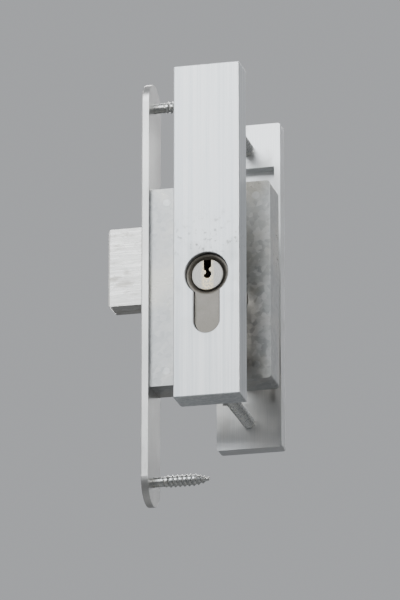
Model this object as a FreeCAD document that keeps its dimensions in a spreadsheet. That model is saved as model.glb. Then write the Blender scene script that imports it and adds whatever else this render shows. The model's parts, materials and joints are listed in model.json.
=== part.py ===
import FreeCAD, Part
import math
import os

import Sketcher
from FreeCAD import Placement, Rotation, Vector

# Deadbolt door lock for a narrow door stile: a mortise deadlock case with its forend, a euro profile
# cylinder with a thumbturn inside, a boxed security shield outside and a plain plate inside.
#
# Frame, in millimetres: +Z up, +X from the door's edge into the leaf, +Y from outside to inside.
# The origin is the middle of the forend's back face. The bolt throws towards -X.
# At rest the bolt is thrown, the turn stands upright and the locking lever is drawn lifted.

doc = FreeCAD.newDocument("deadbolt_lock")
sheet = doc.addObject("Spreadsheet::Sheet", "sizes")

# ---------------------------------------------------------------- driving dimensions
SIZES = {
    # door and the two plates that clamp it
    "door_thick": 60.0,
    "shield_wide": 27.0,
    "shield_above": 89.0,  # key's axis to the top of the shield
    "shield_below": 51.0,  # key's axis to the foot of the shield
    "shield_thick": 12.0,
    "shield_front": 2.2,  # front wall of the cover
    "shield_side": 1.6,  # side walls of the cover
    "base_thick": 3.0,
    "collar_wall": 2.3,  # steel collar round the cylinder
    "drill_plate": 2.0,
    "inner_thick": 8.0,  # plate on the room side
    "bolt_inset": 11.0,  # through bolts, from either end of the plates
    "edge_round": 0.5,
    # forend and mortise case
    "forend_wide": 20.0,
    "forend_tall": 180.0,
    "forend_thick": 3.0,
    "forend_hole_inset": 10.0,
    "backset": 35.0,  # forend's face to the key's axis
    "behind_axis": 18.0,  # key's axis to the case's back
    "case_tall": 84.0,
    "case_thick": 15.0,
    "case_wall": 1.5,
    "post_inset": 6.0,  # case posts, from the case's edges
    "post_round": 3.0,
    "axis_below": 8.0,  # key's axis below the forend's middle
    # euro profile cylinder
    "profile_round": 8.5,
    "profile_leg": 5.0,
    "profile_tall": 33.0,
    "half_out": 40.0,
    "half_in": 40.0,
    "plug_round": 6.5,
    "mouth_bevel": 1.1,  # bevel round the keyed plug
    "gap_wide": 10.4,  # gap for the cam in the middle of the cylinder
    "gap_round": 16.0,
    "cam_wide": 9.8,
    "cam_hub": 8.4,
    "cam_reach": 15.3,
    "finger_half": 3.5,
    "tail_gap": 4.0,  # plug's inner end, from the middle of the cylinder
    "clip_round": 7.0,
    "clip_thick": 0.8,
    "clip_seat": 5.6,  # floor of the clip's groove
    "coupler_core": 3.6,
    "coupler_rib": 4.9,
    "coupler_half": 1.25,
    "keyway_half": 1.55,
    "fixing_below": 20.0,  # fixing screw below the key's axis
    "pin_round": 1.4,
    "pin_pitch": 4.5,
    "pin_first": 8.0,  # first pin, behind the cylinder's face
    # bolt and its works
    "bolt_throw": 15.0,
    "bolt_thick": 11.0,
    "bolt_above": 35.0,  # top of the bolt above the key's axis
    "bolt_under": 2.0,  # foot of the bolt's head above the key's axis
    "tail_under": 9.2,  # foot of the bolt's tail above the key's axis
    "tail_thick": 7.0,
    "notch_half": 4.6,
    "horn_long": 3.5,
    "guide_round": 2.5,
    "stump_round": 2.0,
    "lever_thick": 2.6,
    "pivot_round": 2.5,
    # thumbturn
    "turn_tall": 32.0,
    "turn_wide": 12.5,
    "turn_deep": 26.0,
    "collar_round": 8.3,
    "spindle_round": 4.5,
    "knob_round": 1.4,
    # fasteners
    "bolt_shank": 2.5,
    "rivet_shank": 1.6,
    "screw_shank": 1.5,
    "wood_shank": 2.0,
    "wood_long": 26.0,
    "sleeve_round": 4.0,
    "sleeve_long": 18.0,  # threaded sleeve, in the door behind the outer plate
    "sleeve_bore": 8.5,
    # fits
    "slip": 0.3,  # free fit
    "close": 0.1,  # close fit
    "turning": 0.05,  # running fit of turned pieces, on the radius
}


class Size:
    """A length that carries its value and the sheet expression it comes from."""

    def __init__(self, value, text):
        self.value = value
        self.text = text

    def __add__(self, other):
        return Size(self.value + value(other), f"({self.text} + {text(other)})")

    def __radd__(self, other):
        return Size(value(other) + self.value, f"({text(other)} + {self.text})")

    def __sub__(self, other):
        return Size(self.value - value(other), f"({self.text} - {text(other)})")

    def __rsub__(self, other):
        return Size(value(other) - self.value, f"({text(other)} - {self.text})")

    def __mul__(self, other):
        return Size(self.value * value(other), f"({self.text} * {text(other)})")

    __rmul__ = __mul__

    def __truediv__(self, other):
        return Size(self.value / value(other), f"({self.text} / {text(other)})")

    def __neg__(self):
        return 0 - self


def value(length):
    return length.value if isinstance(length, Size) else float(length)


def text(length):
    if isinstance(length, Size):
        return length.text
    return f"{length:.9g}" if length >= 0 else f"(0 - {-length:.9g})"


class Named:
    """The driving dimensions, read by name."""


s = Named()
for row, (alias, length) in enumerate(SIZES.items(), start=1):
    sheet.set(f"A{row}", alias.replace("_", " "))
    sheet.set(f"B{row}", str(length))
    sheet.setAlias(f"B{row}", alias)
    setattr(s, alias, Size(length, f"sizes.{alias}"))
doc.recompute()

# ---------------------------------------------------------------- places
PLUG_X = s.backset - s.forend_thick
PLUG_Z = -s.axis_below
DOOR = s.door_thick / 2
OUT_FACE = -DOOR - s.shield_thick
IN_FACE = DOOR + s.inner_thick
SHIELD_TOP = PLUG_Z + s.shield_above
SHIELD_FOOT = PLUG_Z - s.shield_below
SHIELD_LEFT = PLUG_X - s.shield_wide / 2
SHIELD_RIGHT = PLUG_X + s.shield_wide / 2
UPPER_BOLT = SHIELD_TOP - s.bolt_inset
LOWER_BOLT = SHIELD_FOOT + s.bolt_inset
CASE_BACK = PLUG_X + s.behind_axis
CASE_TOP = s.case_tall / 2
CASE_SIDE = s.case_thick / 2
ROOM = CASE_SIDE - s.case_wall  # half the clear width inside the case
BOLT_TOP = PLUG_Z + s.bolt_above
BOLT_FOOT = PLUG_Z + s.bolt_under
TAIL_FOOT = PLUG_Z + s.tail_under
HEAD_BACK = s.forend_thick - 2.0
NOTCH_X = PLUG_X - s.bolt_throw / 2
NOTCH_ROOF = PLUG_Z + s.cam_reach + s.slip
TAIL_END = NOTCH_X + s.notch_half + s.horn_long
TAIL_FACE = s.tail_thick - s.bolt_thick / 2
GUIDE_X = NOTCH_X + 1.0
GUIDE_Z = BOLT_TOP - s.guide_round - 1.8
LEVER_NEAR = TAIL_FACE + 0.5
LEVER_FAR = LEVER_NEAR + s.lever_thick
LEVER_TIP = HEAD_BACK + s.bolt_throw + 1.2
LEVER_FOOT = NOTCH_ROOF + 0.1
LEVER_TOP = GUIDE_Z - s.guide_round - 0.6
CHANNEL = s.stump_round + s.slip  # half width of the lever's gate
STUMP_X = LEVER_TIP + CHANNEL + 2.2
STUMP_Z = LEVER_FOOT + CHANNEL + 2.0
PIVOT_X = CASE_BACK - 6.0
FIXING_Z = PLUG_Z - s.fixing_below
SHEAR = s.plug_round + 0.1  # top of the driver pins, below the key's axis
PIN_HOLE = s.pin_round + s.turning
PIN_WIRE = 0.2  # radii of the springs' wire
COUPLER_WIRE = 0.3
PINS = [s.half_out - s.pin_first - s.pin_pitch * i for i in range(5)]
LEG_FOOT = s.profile_tall - s.profile_round  # foot of the cylinder, below the key's axis
COVER_SCREWS = (PLUG_Z + 62.0, PLUG_Z + 22.0)
CASE_POSTS = (
    (s.post_inset + 1.0, CASE_TOP - s.post_inset),
    (s.post_inset + 1.0, s.post_inset - CASE_TOP),
    (CASE_BACK - s.post_inset, CASE_TOP - s.post_inset),
    (CASE_BACK - s.post_inset, s.post_inset - CASE_TOP),
)
RIVETS = (CASE_TOP - 5.0, 5.0 - CASE_TOP)
FOREND_SCREWS = (s.forend_tall / 2 - s.forend_hole_inset, s.forend_hole_inset - s.forend_tall / 2)
LEVER_DROP = 7.0  # degrees from lifted to dropped


# ---------------------------------------------------------------- sketch helpers
NORMAL = {"XY_Plane": 1, "XZ_Plane": -1, "YZ_Plane": 1}  # which way each origin plane faces


def new_body(label):
    body = doc.addObject("PartDesign::Body", label)
    body.Label = label
    return body


def new_sketch(body, plane, offset, draw):
    """A sketch parallel to one of the body's origin planes, offset along the axis across it."""
    sketch = body.newObject("Sketcher::SketchObject", f"{body.Label}_sketch")
    support = next(f for f in body.Origin.OriginFeatures if f.Role == plane)
    sketch.AttachmentSupport = [(support, "")]
    sketch.MapMode = "FlatFace"
    sketch.setExpression("AttachmentOffset.Base.z", text(offset * NORMAL[plane]))
    draw(sketch)
    sketch.Visibility = False
    return sketch


def fix(sketch, kind, *args):
    """Adds a dimension to the sketch, bound to the expression of its last argument."""
    *where, length = args
    index = sketch.addConstraint(Sketcher.Constraint(kind, *where, value(length)))
    if isinstance(length, Size):
        sketch.setExpression(f"Constraints[{index}]", length.text)


def place_point(sketch, geometry, end, u, v):
    fix(sketch, "DistanceX", -1, 1, geometry, end, u)
    fix(sketch, "DistanceY", -1, 1, geometry, end, v)


def polygon(*corners):
    """A straight-sided outline through its corners."""

    def draw(sketch):
        spots = [Vector(value(u), value(v), 0) for u, v in corners]
        first = sketch.GeometryCount
        count = len(spots)
        for i, spot in enumerate(spots):
            sketch.addGeometry(Part.LineSegment(spot, spots[(i + 1) % count]), False)
        for i, (u, v) in enumerate(corners):
            before = first + (i - 1) % count
            sketch.addConstraint(Sketcher.Constraint("Coincident", before, 2, first + i, 1))
            place_point(sketch, first + i, 1, u, v)

    return draw


def box(u_low, u_high, v_low, v_high):
    return polygon((u_low, v_low), (u_high, v_low), (u_high, v_high), (u_low, v_high))


def bar(half_long, half_wide, turn):
    """A rectangle about the sketch's origin, its long way turned from +X by turn degrees."""
    along = math.cos(math.radians(turn))
    across = math.sin(math.radians(turn))
    corners = []
    for p, q in ((1, 1), (-1, 1), (-1, -1), (1, -1)):
        u = half_long * (p * along) - half_wide * (q * across)
        v = half_long * (p * across) + half_wide * (q * along)
        corners.append((u, v))
    return polygon(*corners)


def circle(u, v, radius):
    def draw(sketch):
        ring = Part.Circle(Vector(value(u), value(v), 0), Vector(0, 0, 1), value(radius))
        index = sketch.addGeometry(ring, False)
        place_point(sketch, index, 3, u, v)
        fix(sketch, "Radius", index, radius)

    return draw


def arc(sketch, u, v, radius, start, end):
    """Adds an arc, from start to end in degrees, and fixes its centre and radius."""
    ring = Part.Circle(Vector(value(u), value(v), 0), Vector(0, 0, 1), value(radius))
    index = sketch.addGeometry(Part.ArcOfCircle(ring, math.radians(start), math.radians(end)), False)
    place_point(sketch, index, 3, u, v)
    fix(sketch, "Radius", index, radius)
    return index


def slot(u_low, u_high, v_low, v_high, radius):
    """Two half circles joined by straight sides, centred on the two ends given."""

    def draw(sketch):
        upright = value(v_high) > value(v_low)
        turn = 0 if upright else -90
        far = arc(sketch, u_high, v_high, radius, turn, turn + 180)
        near = arc(sketch, u_low, v_low, radius, turn + 180, turn + 360)
        for a, b in ((far, near), (near, far)):
            start = sketch.getPoint(a, 2)
            end = sketch.getPoint(b, 1)
            side = sketch.addGeometry(Part.LineSegment(start, end), False)
            sketch.addConstraint(Sketcher.Constraint("Tangent", a, 2, side, 1))
            sketch.addConstraint(Sketcher.Constraint("Tangent", side, 2, b, 1))

    return draw


def euro_profile(grow=0.0):
    """The euro profile about the key's axis, larger by grow all round."""

    def draw(sketch):
        round_r = s.profile_round + grow
        leg_r = s.profile_leg + grow
        lean = math.degrees(math.asin(leg_r.value / round_r.value))
        foot_z = PLUG_Z - (s.profile_tall - s.profile_round - s.profile_leg)
        head = arc(sketch, PLUG_X, PLUG_Z, round_r, lean - 90, 270 - lean)
        foot = arc(sketch, PLUG_X, foot_z, leg_r, 180, 360)
        for head_end, foot_end in ((1, 2), (2, 1)):
            start = sketch.getPoint(head, head_end)
            end = sketch.getPoint(foot, foot_end)
            side = sketch.addGeometry(Part.LineSegment(start, end), False)
            sketch.addConstraint(Sketcher.Constraint("Coincident", head, head_end, side, 1))
            sketch.addConstraint(Sketcher.Constraint("Coincident", foot, foot_end, side, 2))
            sketch.addConstraint(Sketcher.Constraint("Vertical", side))
            sketch.addConstraint(Sketcher.Constraint("Horizontal", foot, 3, foot, foot_end))

    return draw


def several(*draws):
    def draw(sketch):
        for one in draws:
            one(sketch)

    return draw


# ---------------------------------------------------------------- feature helpers
def pad(body, plane, low, high, draw, cut=False):
    """Pads, or pockets, an outline between two places on the axis across its plane."""
    from_low = (NORMAL[plane] > 0) != cut
    feature = body.newObject("PartDesign::Pocket" if cut else "PartDesign::Pad", f"{body.Label}_step")
    feature.Profile = new_sketch(body, plane, low if from_low else high, draw)
    feature.setExpression("Length", text(high - low))
    doc.recompute()
    return feature


def pocket(body, plane, low, high, draw):
    before = body.Shape.Volume
    feature = pad(body, plane, low, high, draw, cut=True)
    if body.Shape.Volume > before - 1e-6:
        raise ValueError(f"{body.Label}: a pocket cuts nothing")
    return feature


def put(item, x, y, z, turn=Rotation()):
    """Places an object in the frame, its base point bound to the sizes."""
    item.Placement = Placement(Vector(value(x), value(y), value(z)), turn)
    for axis, length in zip("xyz", (x, y, z)):
        if isinstance(length, Size):
            item.setExpression(f"Placement.Base.{axis}", length.text)
    return item


INTO = Rotation(Vector(0, 1, 0), 90)  # own Z along +X, own X down
OUT = Rotation(Vector(0, 1, 0), -90)  # own Z along -X, own X up
INWARD = Rotation(Vector(1, 0, 0), -90)  # own Z along +Y, own Y down
OUTWARD = Rotation(Vector(1, 0, 0), 90)  # own Z along -Y, own Y up


def turned(label, outline, x, y, z, turn=Rotation()):
    """A turned piece: (radius, height) corners revolved about its own Z axis."""
    body = new_body(label)
    feature = body.newObject("PartDesign::Revolution", f"{label}_turned")
    sketch = new_sketch(body, "XZ_Plane", 0.0, polygon(*outline))
    feature.Profile = sketch
    feature.ReferenceAxis = (sketch, ["V_Axis"])
    feature.Angle = 360.0
    doc.recompute()
    return put(body, x, y, z, turn)


def coil(label, radius, wire, low, high, turns, x, y, z, turn=Rotation()):
    """A helical spring between two heights on its own Z axis."""
    body = new_body(label)
    feature = body.newObject("PartDesign::AdditiveHelix", f"{label}_helix")
    sketch = new_sketch(body, "XZ_Plane", 0.0, circle(radius, low + wire, wire))
    feature.Profile = sketch
    feature.ReferenceAxis = (sketch, ["V_Axis"])
    feature.Mode = 2
    feature.Turns = turns
    feature.setExpression("Height", text(high - low - wire * 2))
    doc.recompute()
    return put(body, x, y, z, turn)


def edges_where(body, test):
    """Names of the body's edges whose ends and middle all pass the test."""
    names = []
    for i, edge in enumerate(body.Shape.Edges, start=1):
        spots = [v.Point for v in edge.Vertexes]
        spots.append(edge.valueAt((edge.FirstParameter + edge.LastParameter) / 2))
        if test(edge, spots):
            names.append(f"Edge{i}")
    if not names:
        raise ValueError(f"{body.Label}: no edge to dress")
    return names


def round_edge(edge, radius):
    return hasattr(edge.Curve, "Radius") and abs(edge.Curve.Radius - value(radius)) < 1e-4


def on(spots, axis, length):
    return all(abs(getattr(p, axis) - value(length)) < 1e-4 for p in spots)


def dress(body, kind, names, size):
    """Fillets or chamfers the named edges of the body."""
    base = body.Tip
    feature = body.newObject(f"PartDesign::{kind}", f"{body.Label}_{kind.lower()}")
    feature.Base = (base, names)
    body.Tip = feature
    name = "Radius" if kind == "Fillet" else "Size"
    setattr(feature, name, value(size))
    if isinstance(size, Size):
        feature.setExpression(name, size.text)
    doc.recompute()
    return feature


def sink(body, axis, face, radius, depth):
    """Countersinks the round holes of a radius that open on a face."""

    holes = edges_where(body, lambda edge, spots: on(spots, axis, face) and round_edge(edge, radius))
    dress(body, "Chamfer", holes, depth)


NODES = []


def node(item):
    NODES.append(item)
    return item


def group(label, items):
    """One node of several separate solids."""
    compound = doc.addObject("Part::Compound", label)
    compound.Label = label
    compound.Links = items
    return node(compound)


# ---------------------------------------------------------------- fasteners
SINK = 0.84  # a countersunk head's overhang, in shank radii
LIP = 0.3  # straight rim of a countersunk head


def countersunk(label, shank, length, tip, x, y, z, turn, neck=()):
    """A countersunk screw: head face at its own Z = 0, shank towards -Z, neck as extra corners."""
    head = shank * (1 + SINK)
    body = turned(label, (
        (0.0, 0.0), (head, 0.0), (head, -LIP), *(neck or ((shank, -LIP - shank * SINK),)),
        (shank, tip - length), (shank * 0.3, -length), (0.0, -length),
    ), x, y, z, turn)
    for angle in (0, 90):
        pocket(body, "XY_Plane", -shank * 0.8, 0.0, bar(shank * 0.95, shank * 0.2, angle))
    return body


def sink_depth(shank):
    return shank * SINK + LIP


def pan_screw(label, shank, length, x, y, z, turn):
    """A pan head screw: underside of the head at its own Z = 0, shank towards -Z."""
    head = shank * 1.85
    body = turned(label, (
        (0.0, 1.5), (head * 0.75, 1.5), (head, 0.9), (head, 0.0), (shank, 0.0),
        (shank, 0.4 - length), (shank - 0.4, -length), (0.0, -length),
    ), x, y, z, turn)
    for angle in (0, 90):
        pocket(body, "XY_Plane", 0.6, 1.5, bar(shank, shank * 0.22, angle))
    return body


def hexagon(radius):
    corners = [(radius * math.cos(math.radians(60 * i)), radius * math.sin(math.radians(60 * i)))
               for i in range(6)]
    return polygon(*corners)


# ---------------------------------------------------------------- outside shield
def make_outer_cover():
    """Boxed aluminium cover, open towards the door, with two screw bosses behind its front."""
    body = new_body("outer_cover")
    inside = OUT_FACE + s.shield_front
    pad(body, "XZ_Plane", OUT_FACE, -DOOR, box(SHIELD_LEFT, SHIELD_RIGHT, SHIELD_FOOT, SHIELD_TOP))
    pocket(body, "XZ_Plane", inside, -DOOR, box(
        SHIELD_LEFT + s.shield_side, SHIELD_RIGHT - s.shield_side,
        SHIELD_FOOT + s.shield_side, SHIELD_TOP - s.shield_side,
    ))
    boss_end = -DOOR - s.base_thick
    boss = s.screw_shank * 2
    pad(body, "XZ_Plane", inside, boss_end, several(*(circle(PLUG_X, z, boss) for z in COVER_SCREWS)))
    bore = s.screw_shank + s.turning
    pocket(body, "XZ_Plane", inside, boss_end, several(*(circle(PLUG_X, z, bore) for z in COVER_SCREWS)))
    pocket(body, "XZ_Plane", OUT_FACE, inside, euro_profile(s.slip))

    def rim(edge, spots):
        across = on(spots, "x", SHIELD_LEFT) or on(spots, "x", SHIELD_RIGHT)
        upright = on(spots, "z", SHIELD_TOP) or on(spots, "z", SHIELD_FOOT)
        return (across and upright) or ((across or upright) and on(spots, "y", OUT_FACE))

    def mouth(edge, spots):
        middle = spots[-1]
        near = abs(middle.x - PLUG_X.value) < s.profile_round.value + 1
        inside_rim = not (on(spots, "z", SHIELD_TOP) or on(spots, "z", SHIELD_FOOT))
        return on(spots, "y", OUT_FACE) and near and inside_rim and edge.Length < s.profile_tall.value * 1.6

    dress(body, "Chamfer", edges_where(body, mouth), s.slip)
    dress(body, "Fillet", edges_where(body, rim), s.edge_round)
    return node(body)


def make_base_plate():
    """Steel base inside the cover, with a collar round the cylinder."""
    body = new_body("outer_base_plate")
    gap = s.shield_side + s.close
    front = -DOOR - s.base_thick
    pad(body, "XZ_Plane", front, -DOOR, box(
        SHIELD_LEFT + gap, SHIELD_RIGHT - gap, SHIELD_FOOT + gap, SHIELD_TOP - gap,
    ))
    pad(body, "XZ_Plane", COLLAR_FRONT, front, collar_outline(0.0))
    pocket(body, "XZ_Plane", COLLAR_FRONT, -DOOR, euro_profile(s.slip))
    hole = SLEEVE_NECK + s.turning
    pocket(body, "XZ_Plane", front, -DOOR, several(
        circle(PLUG_X, UPPER_BOLT, hole), circle(PLUG_X, LOWER_BOLT, hole),
    ))
    bore = s.screw_shank + s.turning
    pocket(body, "XZ_Plane", front, -DOOR, several(*(circle(PLUG_X, z, bore) for z in COVER_SCREWS)))
    sink(body, "y", -DOOR, bore, sink_depth(s.screw_shank))
    return node(body)


COLLAR_FRONT = OUT_FACE + s.shield_front + s.drill_plate
SLEEVE_NECK = s.sleeve_round + 0.3


def collar_outline(extra):
    reach = s.profile_round + s.collar_wall
    return box(PLUG_X - reach, PLUG_X + reach, PLUG_Z - LEG_FOOT - s.collar_wall, PLUG_Z + reach + extra)


def make_drill_plate():
    """Hardened plate held between the cover's front and the collar."""
    body = new_body("anti_drill_plate")
    front = OUT_FACE + s.shield_front
    pad(body, "XZ_Plane", front, COLLAR_FRONT, collar_outline(5.0))
    pocket(body, "XZ_Plane", front, COLLAR_FRONT, euro_profile(s.slip))
    return node(body)


def make_base_screws():
    group("base_screws", [
        countersunk(f"base_screw_{i}", s.screw_shank, s.shield_thick - 4.0, 0.4, PLUG_X, -DOOR, z, INWARD)
        for i, z in enumerate(COVER_SCREWS, start=1)
    ])


def make_sleeves():
    """Two sleeves, pressed and flanged in the base, reaching into the door and tapped at their ends."""
    flange = s.sleeve_round + 1.5
    bore = s.bolt_shank + s.turning
    floor = s.sleeve_long - s.sleeve_bore
    items = []
    for i, z in enumerate((UPPER_BOLT, LOWER_BOLT), start=1):
        items.append(turned(f"threaded_sleeve_{i}", (
            (0.0, -s.base_thick - 1.5), (flange, -s.base_thick - 1.5), (flange, -s.base_thick),
            (SLEEVE_NECK, -s.base_thick), (SLEEVE_NECK, 0.0), (s.sleeve_round, 0.0),
            (s.sleeve_round, s.sleeve_long - 0.5), (s.sleeve_round - 0.5, s.sleeve_long),
            (bore, s.sleeve_long), (bore, floor), (0.0, floor),
        ), PLUG_X, -DOOR, z, INWARD))
    group("threaded_sleeves", items)


# ---------------------------------------------------------------- inside plate
def make_inner_plate():
    """Aluminium plate on the room side, relieved behind, with countersunk bolt holes."""
    body = new_body("inner_plate")
    pad(body, "XZ_Plane", DOOR, IN_FACE, box(SHIELD_LEFT, SHIELD_RIGHT, SHIELD_FOOT, SHIELD_TOP))
    pocket(body, "XZ_Plane", DOOR, IN_FACE - 3.0, box(
        SHIELD_LEFT + 2.5, SHIELD_RIGHT - 2.5, LOWER_BOLT + 8.0, UPPER_BOLT - 8.0,
    ))
    pocket(body, "XZ_Plane", DOOR, IN_FACE, euro_profile(s.slip))
    bore = s.bolt_shank + s.turning
    pocket(body, "XZ_Plane", DOOR, IN_FACE, several(
        circle(PLUG_X, UPPER_BOLT, bore), circle(PLUG_X, LOWER_BOLT, bore),
    ))
    sink(body, "y", IN_FACE, bore, sink_depth(s.bolt_shank))

    def rim(edge, spots):
        across = on(spots, "x", SHIELD_LEFT) or on(spots, "x", SHIELD_RIGHT)
        upright = on(spots, "z", SHIELD_TOP) or on(spots, "z", SHIELD_FOOT)
        return (across and upright) or ((across or upright) and on(spots, "y", IN_FACE))

    dress(body, "Fillet", edges_where(body, rim), s.edge_round * 2)
    return node(body)


def make_through_bolts():
    length = s.door_thick + s.inner_thick - s.sleeve_long + s.sleeve_bore - 0.5
    group("through_bolts", [
        countersunk(f"through_bolt_{i}", s.bolt_shank, length, 0.8, PLUG_X, IN_FACE, z, INWARD)
        for i, z in enumerate((UPPER_BOLT, LOWER_BOLT), start=1)
    ])


# ---------------------------------------------------------------- profile cylinder
def make_cylinder_body():
    """Brass profile body: bored for a plug at each end, gapped for the cam, drilled for the pins."""
    body = new_body("cylinder_body")
    gap = s.gap_wide / 2
    bore = s.plug_round + s.turning
    pad(body, "XZ_Plane", -s.half_out, s.half_in, euro_profile())
    pocket(body, "XZ_Plane", -gap, gap, circle(PLUG_X, PLUG_Z, s.gap_round))
    pocket(body, "XZ_Plane", -s.half_out, s.half_in, circle(PLUG_X, PLUG_Z, bore))
    pocket(body, "XY_Plane", PLUG_Z - LEG_FOOT, PLUG_Z, several(
        *(circle(PLUG_X, -y, PIN_HOLE) for y in PINS)
    ))
    mouth = edges_where(body, lambda edge, spots: on(spots, "y", -s.half_out) and round_edge(edge, bore))
    dress(body, "Chamfer", mouth, s.mouth_bevel)
    fixing = s.bolt_shank + s.turning
    pocket(body, "YZ_Plane", PLUG_X - s.profile_leg, PLUG_X + s.profile_leg, circle(0.0, FIXING_Z, fixing))
    guard = 1.0 + s.turning
    pocket(body, "YZ_Plane", PLUG_X - s.profile_leg + 1.0, PLUG_X + s.profile_leg, several(
        *(circle(-s.half_out + 3.0, z, guard) for z in GUARDS)
    ))
    return node(body)


GUARDS = (PLUG_Z - 12.0, PLUG_Z - 17.0)


def make_guard_pins():
    group("drill_guard_pins", [
        turned(f"drill_guard_pin_{i}", (
            (0.0, 0.0), (1.0, 0.0), (1.0, s.profile_leg * 2 - 1.3), (0.0, s.profile_leg * 2 - 1.3),
        ), PLUG_X - s.profile_leg + 1.1, -s.half_out + 3.0, z, INTO)
        for i, z in enumerate(GUARDS, start=1)
    ])


def tail_end(far):
    """Corners of a plug's grooved inner end, on the side of the clip away from the middle."""
    groove_low = s.tail_gap + 0.2
    groove_high = s.gap_wide / 2 - 0.08
    return (
        (0.0, s.tail_gap), (s.plug_round - 0.3, s.tail_gap), (s.plug_round - 0.3, groove_low),
        (s.clip_seat, groove_low), (s.clip_seat, groove_high), (s.plug_round, groove_high),
        (s.plug_round, far),
    )


def coupler_hole(body, low, high):
    """The keyed hole that takes a coupler, in the end of a plug or shaft."""
    pocket(body, "XY_Plane", low, high, circle(0.0, 0.0, s.coupler_core + s.turning))
    pocket(body, "XY_Plane", low, high, bar(s.coupler_rib + s.turning, s.coupler_half + s.turning, 90))


def make_outer_plug():
    """Keyed plug, its keyway open at the top, with five pin holes below."""
    body = turned("outer_plug", (
        *tail_end(s.half_out - s.slip), (s.plug_round - s.slip, s.half_out), (0.0, s.half_out),
    ), PLUG_X, 0.0, PLUG_Z, OUTWARD)
    wide = s.keyway_half
    ward = s.keyway_half * 0.45
    top = s.plug_round + 1.0
    pocket(body, "XY_Plane", COUPLER_OUT, s.half_out, polygon(
        (-ward, KEYWAY_FOOT), (ward, KEYWAY_FOOT), (wide, -0.3), (wide, 1.0), (ward, 1.6), (ward, 2.6),
        (wide, 3.2), (wide, top), (-wide, top), (-wide, 2.2), (-ward, 1.6), (-ward, 0.6), (-wide, 0.0),
        (-wide, -0.7),
    ))
    coupler_hole(body, s.tail_gap, COUPLER_OUT + 0.2)
    pocket(body, "XZ_Plane", -s.plug_round - 0.5, KEYWAY_FOOT + 2.0, several(
        *(circle(0.0, y, PIN_HOLE) for y in PINS)
    ))
    return node(body)


KEYWAY_FOOT = -1.5
COUPLER_OUT = s.tail_gap + 5.0
CAM_POCKET = s.tail_gap - 0.7  # floor of the cam's two counterbores


def clip(label, turn):
    """A retaining clip in a plug's groove."""
    low = s.gap_wide / 2 - 0.12 - s.clip_thick
    inner = s.clip_seat + s.turning
    high = low + s.clip_thick
    return node(turned(label, (
        (inner, low), (s.clip_round, low), (s.clip_round, high), (inner, high),
    ), PLUG_X, 0.0, PLUG_Z, turn))


def make_pins():
    """Pins, springs and chamber plugs, drawn at the shear line as a key would set them."""
    keys = []
    drivers = []
    springs = []
    plugs = []
    r = s.pin_round
    floor = LEG_FOOT - 2.1  # top of the chamber plugs, below the key's axis
    for i, (y, cut) in enumerate(zip(PINS, (5.2, 6.0, 5.5, 6.4, 5.3)), start=1):
        foot = 0.2 - s.plug_round
        keys.append(turned(f"key_pin_{i}", (
            (0.0, foot), (r, foot), (r, foot + cut - 0.9), (0.4, foot + cut), (0.0, foot + cut),
        ), PLUG_X, -y, PLUG_Z))
        driver_foot = -SHEAR - 5.5
        drivers.append(turned(f"driver_pin_{i}", (
            (0.0, driver_foot), (r, driver_foot), (r, driver_foot + 1.6), (r * 0.7, driver_foot + 1.9),
            (r * 0.7, driver_foot + 3.2), (r, driver_foot + 3.5), (r, -SHEAR), (0.0, -SHEAR),
        ), PLUG_X, -y, PLUG_Z))
        springs.append(coil(
            f"pin_spring_{i}", r - 0.3, PIN_WIRE, -floor, driver_foot, 6.0, PLUG_X, -y, PLUG_Z,
        ))
        plugs.append(turned(f"chamber_plug_{i}", (
            (0.0, -floor - 1.8), (r, -floor - 1.8), (r, -floor), (0.0, -floor),
        ), PLUG_X, -y, PLUG_Z))
    group("key_pins", keys)
    group("driver_pins", drivers)
    group("pin_springs", springs)
    group("chamber_plugs", plugs)


def make_cam():
    """Cam with one finger, pointing up and towards the forend while the bolt is thrown."""
    body = new_body("cam")
    half = s.cam_wide / 2
    tip = s.cam_reach - s.finger_half
    pad(body, "XY_Plane", -half, half, circle(0.0, 0.0, s.cam_hub))
    pad(body, "XY_Plane", -half, half, box(-s.finger_half, s.finger_half, 0.0, tip))
    pad(body, "XY_Plane", -half, half, circle(0.0, tip, s.finger_half))
    seat = s.clip_round + 0.2
    for low, high in ((CAM_POCKET, half), (-half, -CAM_POCKET)):
        pocket(body, "XY_Plane", low, high, circle(0.0, 0.0, seat))
    pocket(body, "XY_Plane", -CAM_POCKET, CAM_POCKET, circle(0.0, 0.0, s.coupler_core + s.turning))
    slots = bar(s.coupler_rib + s.turning, s.coupler_half + s.turning, 45)
    pocket(body, "XY_Plane", -CAM_POCKET, CAM_POCKET, slots)
    put(body, PLUG_X, 0.0, PLUG_Z, OUTWARD.multiply(Rotation(Vector(0, 0, 1), 45)))
    return node(body)


def coupler(label, low, high, turn):
    """A coupler: a round core with two ribs."""
    body = new_body(label)
    pad(body, "XY_Plane", low, high, circle(0.0, 0.0, s.coupler_core))
    pad(body, "XY_Plane", low, high, bar(s.coupler_rib, s.coupler_half, 90))
    return node(put(body, PLUG_X, 0.0, PLUG_Z, turn))


# ---------------------------------------------------------------- thumbturn
COUPLER_IN = s.tail_gap + 3.0
SHAFT_HOLE = COUPLER_IN + 3.5
TURN_END = s.half_in + s.turn_deep
SPINDLE_END = TURN_END - 6.0
GRUB_Y = s.half_in + 10.0


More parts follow.
